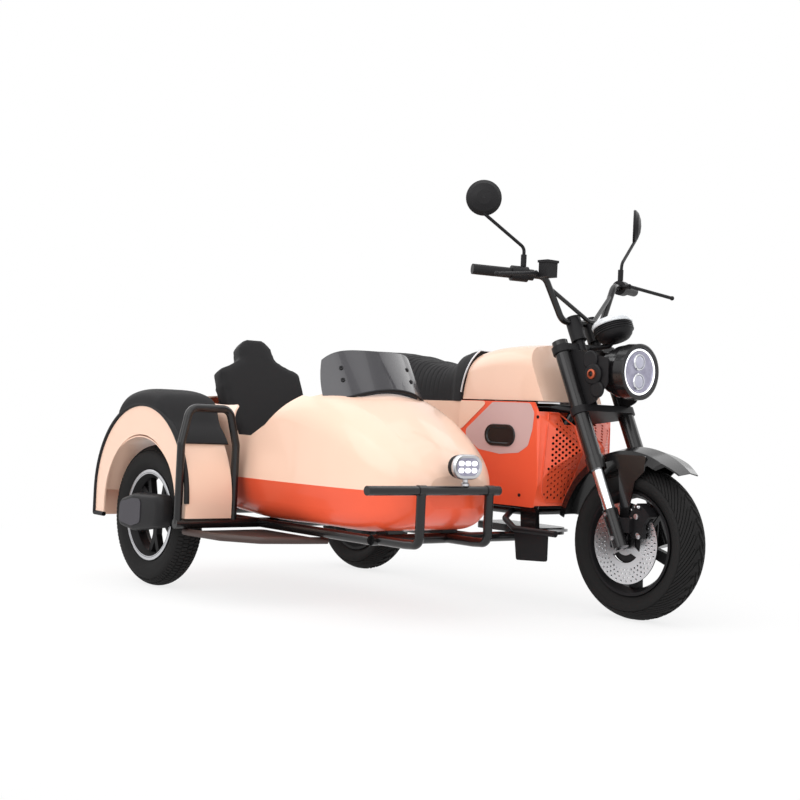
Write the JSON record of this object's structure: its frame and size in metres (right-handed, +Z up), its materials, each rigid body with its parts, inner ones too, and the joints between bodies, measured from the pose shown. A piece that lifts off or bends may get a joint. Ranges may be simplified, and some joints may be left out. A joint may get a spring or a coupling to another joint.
{
  "type": "electric motorcycle with sidecar",
  "caption": "Electric motorcycle with a sidecar tub on its right: steered fork with lamp and fender, covered body with seat, open tub with screen, bumper and wheel guard.",
  "frame": {"origin": "on the ground, under the middle of the vehicle's outline", "axes": "+X forward, +Y to the rider's left, +Z up; the sidecar is on the right, at -Y"},
  "size_m": [1.912, 1.579, 1.3825],
  "materials": {
    "front_tyre": "matt black",
    "rear_tyre": "matt black",
    "sidecar_tyre": "matt black",
    "front_rim": "satin black paint",
    "rear_rim": "satin black paint",
    "sidecar_rim": "satin black paint with machined spoke edges",
    "brake_disc": "brushed",
    "fork_tubes": "gloss black",
    "fork_stanchions": "polished",
    "fork_lowers": "gloss black",
    "fork_clamps": "satin black",
    "handlebar": "gloss black",
    "hand_controls": "matt black",
    "mirrors": "satin black",
    "headlamp_shell": "gloss black",
    "headlamp_lens": "clear",
    "gauge": "black with a pale dial",
    "front_fender": "gloss black",
    "brake_caliper": "black with bare bolts",
    "main_frame": "gloss black",
    "battery_block": "matt black",
    "side_cover_right": "gloss coral",
    "side_cover_left": "gloss coral",
    "front_grille": "gloss coral",
    "tank_cover": "gloss cream",
    "seat": "black vinyl",
    "tail_cover": "gloss cream",
    "tail_lamp": "red lens",
    "rear_fender": "gloss black",
    "swingarm": "gloss black",
    "rear_shocks": "gloss black",
    "footrests": "satin black",
    "sidecar_frame": "gloss black",
    "footboard": "dark brown perforated plate",
    "sidecar_body_upper": "gloss cream",
    "sidecar_body_lower": "gloss coral",
    "sidecar_seat_cushion": "black vinyl",
    "sidecar_seat_back": "black vinyl",
    "windscreen": "smoked",
    "bumper_bar": "gloss black",
    "bumper_lamp": "silver rim with lenses",
    "fender_hoop": "gloss black",
    "sidecar_fender": "gloss cream with black edging",
    "armrest_pad": "black vinyl",
    "sidecar_arm": "gloss black",
    "arm_cover": "moulded black",
    "sidecar_shock": "red spring on a black damper"
  },
  "bodies": {
    "chassis": {"main_frame": "main_frame", "battery_block": "battery_block", "side_cover_right": "side_cover_right", "side_cover_left": "side_cover_left", "front_grille": "front_grille", "tank_cover": "tank_cover", "seat": "seat", "tail_cover": "tail_cover", "tail_lamp": "tail_lamp", "rear_fender": "rear_fender", "swingarm": "swingarm", "rear_shocks": "rear_shocks", "footrests": "footrests", "sidecar_frame": "sidecar_frame", "footboard": "footboard", "sidecar_body_upper": "sidecar_body_upper", "sidecar_body_lower": "sidecar_body_lower", "sidecar_seat_cushion": "sidecar_seat_cushion", "sidecar_seat_back": "sidecar_seat_back", "windscreen": "windscreen", "bumper_bar": "bumper_bar", "bumper_lamp": "bumper_lamp", "fender_hoop": "fender_hoop", "sidecar_fender": "sidecar_fender", "armrest_pad": "armrest_pad", "sidecar_arm": "sidecar_arm", "arm_cover": "arm_cover", "sidecar_shock": "sidecar_shock"},
    "steering": {"fork_tubes": "fork_tubes", "fork_stanchions": "fork_stanchions", "fork_lowers": "fork_lowers", "fork_clamps": "fork_clamps", "handlebar": "handlebar", "hand_controls": "hand_controls", "mirrors": "mirrors", "headlamp_shell": "headlamp_shell", "headlamp_lens": "headlamp_lens", "gauge": "gauge", "front_fender": "front_fender", "brake_caliper": "brake_caliper"},
    "front_wheel": {"front_tyre": "front_tyre", "front_rim": "front_rim", "brake_disc": "brake_disc"},
    "rear_wheel": {"rear_tyre": "rear_tyre", "rear_rim": "rear_rim"},
    "sidecar_wheel": {"sidecar_tyre": "sidecar_tyre", "sidecar_rim": "sidecar_rim"}
  },
  "joints": [
    {"name": "steering_turn", "type": "hinge", "parent": "chassis", "child": "steering", "pos_m": [0.5059, 0.3555, 0.62088], "axis": [-0.4226, 0, 0.9063], "range_deg": [-30, 30]},
    {"name": "front_wheel_spin", "type": "hinge", "parent": "steering", "child": "front_wheel", "pos_m": [0.713, 0.3555, 0.243], "axis": [0, 1, 0], "continuous": true},
    {"name": "rear_wheel_spin", "type": "hinge", "parent": "chassis", "child": "rear_wheel", "pos_m": [-0.687, 0.3555, 0.243], "axis": [0, 1, 0], "continuous": true},
    {"name": "sidecar_wheel_spin", "type": "hinge", "parent": "chassis", "child": "sidecar_wheel", "pos_m": [-0.527, -0.6625, 0.238], "axis": [0, 1, 0], "continuous": true}
  ]
}
